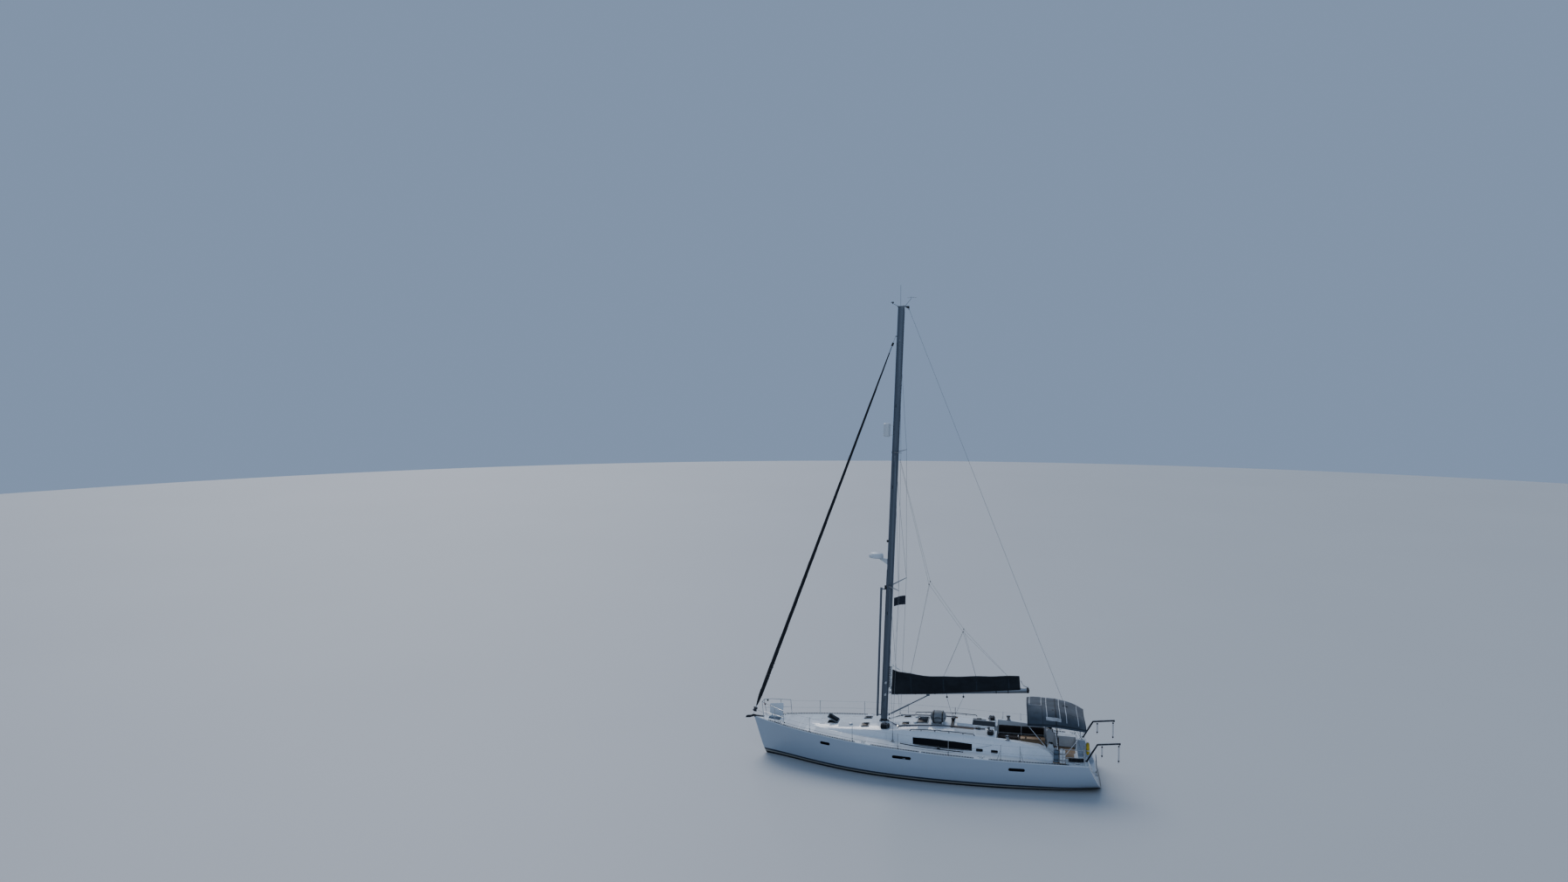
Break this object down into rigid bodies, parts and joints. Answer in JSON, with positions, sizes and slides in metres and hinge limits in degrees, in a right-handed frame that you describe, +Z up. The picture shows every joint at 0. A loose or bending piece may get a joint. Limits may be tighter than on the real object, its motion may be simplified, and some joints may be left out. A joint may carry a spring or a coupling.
{
  "type": "cruising sailing yacht with furled sails",
  "caption": "Single-masted cruising yacht afloat, sails furled, with fin keel, twin wheels, bimini, davits, hatches, rudder and swinging boom.",
  "frame": {"origin": "on the centreline at the waterline, at the middle of the hull's length", "axes": "+X towards the bow, +Y to port, +Z up"},
  "size_m": [16.025, 4.49, 22.87],
  "materials": {
    "gelcoat": "gloss",
    "deck_paint": "matt non-slip",
    "antifouling": "matt",
    "keel_iron": "matt paint",
    "alloy": "satin anodised",
    "steel": "polished",
    "wire_steel": "stranded wire",
    "bronze": "dull",
    "black_plastic": "satin",
    "white_plastic": "satin",
    "tinted_acrylic": "gloss",
    "dark_canvas": "woven",
    "grey_canvas": "woven",
    "teak": "oiled",
    "engine_paint": "paint"
  },
  "bodies": {
    "yacht": {"hull": "gelcoat", "deck": "deck_paint", "coachroof": "gelcoat", "window_port": "tinted_acrylic", "window_starboard": "tinted_acrylic", "sea_hood": "gelcoat", "companionway_steps": "teak", "cockpit_tub": "gelcoat", "ballast_keel": "keel_iron", "shaft_bracket": "bronze", "stern_tube": "bronze", "engine": "engine_paint", "mast": "alloy", "spreaders_lower": "alloy", "spreaders_upper": "alloy", "shrouds_port": "wire_steel", "shrouds_starboard": "wire_steel", "masthead": "black_plastic", "backstay": "wire_steel", "forestay": "wire_steel", "radar": "white_plastic", "radar_reflector": "white_plastic", "whisker_pole": "alloy", "bow_roller": "steel", "windlass": "black_plastic", "pulpit": "steel", "lifelines_port": "steel", "lifelines_starboard": "steel", "pushpit_port": "steel", "pushpit_starboard": "steel", "winch_port": "steel", "winch_starboard": "steel", "helm_console_port": "gelcoat", "helm_console_starboard": "gelcoat", "cockpit_table": "teak", "life_raft": "grey_canvas", "mainsheet_track": "black_plastic", "bimini_canopy": "grey_canvas", "bimini_frame": "steel", "davit_port": "black_plastic", "davit_starboard": "black_plastic", "ladder_hinge": "steel"},
    "boom_and_bag": {"boom": "alloy", "sail_bag": "dark_canvas", "vang": "alloy"},
    "furled_foresail": {"genoa_furled": "dark_canvas"},
    "rudder_blade": {"rudder": "antifouling"},
    "wheel_port": {"helm_wheel_port": "steel"},
    "wheel_starboard": {"helm_wheel_starboard": "steel"},
    "propeller_shaft": {"prop_shaft": "steel", "propeller": "bronze"},
    "companionway_slider": {"companionway_hatch": "tinted_acrylic"},
    "forehatch": {"forehatch_lid": "tinted_acrylic"},
    "port_hatch": {"hatch_port": "tinted_acrylic"},
    "starboard_hatch": {"hatch_starboard": "tinted_acrylic"},
    "saloon_hatch": {"hatch_saloon": "tinted_acrylic"},
    "locker_lid": {"anchor_locker_lid": "gelcoat"},
    "ladder": {"swim_ladder": "steel"}
  },
  "joints": [
    {"name": "boom_swing", "type": "hinge", "parent": "yacht", "child": "boom_and_bag", "pos_m": [1.39, 0, 3.11], "axis": [-0.0384, 0, 0.9993], "range_deg": [-65, 65]},
    {"name": "foresail_furl", "type": "hinge", "parent": "yacht", "child": "furled_foresail", "pos_m": [7.56, 0, 1.7], "axis": [-0.3531, 0, 0.9356], "continuous": true},
    {"name": "rudder_turn", "type": "hinge", "parent": "yacht", "child": "rudder_blade", "pos_m": [-6.15, 0, 0], "axis": [0, 0, 1], "range_deg": [-35, 35]},
    {"name": "wheel_port_turn", "type": "hinge", "parent": "yacht", "child": "wheel_port", "pos_m": [-5.7, 0.95, 1.5], "axis": [1, 0, 0], "range_deg": [-403, 403]},
    {"name": "wheel_starboard_turn", "type": "hinge", "parent": "yacht", "child": "wheel_starboard", "pos_m": [-5.7, -0.95, 1.5], "axis": [1, 0, 0], "range_deg": [-403, 403]},
    {"name": "propeller_spin", "type": "hinge", "parent": "yacht", "child": "propeller_shaft", "pos_m": [-3.42, 0, -0.44], "axis": [-0.9675, 0, -0.2527], "continuous": true},
    {"name": "companionway_slide", "type": "slide", "parent": "yacht", "child": "companionway_slider", "axis": [0.9995, 0, 0.0328], "range_m": [0, 0.6]},
    {"name": "forehatch_open", "type": "hinge", "parent": "yacht", "child": "forehatch", "pos_m": [3.655, 0, 1.68081], "axis": [0, -1, 0], "range_deg": [-32, 45]},
    {"name": "hatch_port_open", "type": "hinge", "parent": "yacht", "child": "port_hatch", "pos_m": [2.235, 0.49, 1.78534], "axis": [0.0076, -0.9964, 0.084], "range_deg": [0, 80]},
    {"name": "hatch_starboard_open", "type": "hinge", "parent": "yacht", "child": "starboard_hatch", "pos_m": [2.235, -0.49, 1.78534], "axis": [-0.0076, -0.9964, -0.084], "range_deg": [0, 80]},
    {"name": "hatch_saloon_open", "type": "hinge", "parent": "yacht", "child": "saloon_hatch", "pos_m": [-0.3, 0, 2.00966], "axis": [0, -1, 0], "range_deg": [0, 80]},
    {"name": "locker_lid_close", "type": "hinge", "parent": "yacht", "child": "locker_lid", "pos_m": [6.255, -0.29, 1.62608], "axis": [0.9989, 0, 0.0474], "range_deg": [-90, 0]},
    {"name": "ladder_fold_down", "type": "hinge", "parent": "yacht", "child": "ladder", "pos_m": [-7.29, 0.48, 0.39], "axis": [0, 1, 0], "range_deg": [-148, 0]}
  ],
  "couplings": [
    {"joint": "wheel_port_turn", "follows": "rudder_turn", "ratio": 11.5},
    {"joint": "wheel_starboard_turn", "follows": "rudder_turn", "ratio": 11.5}
  ]
}
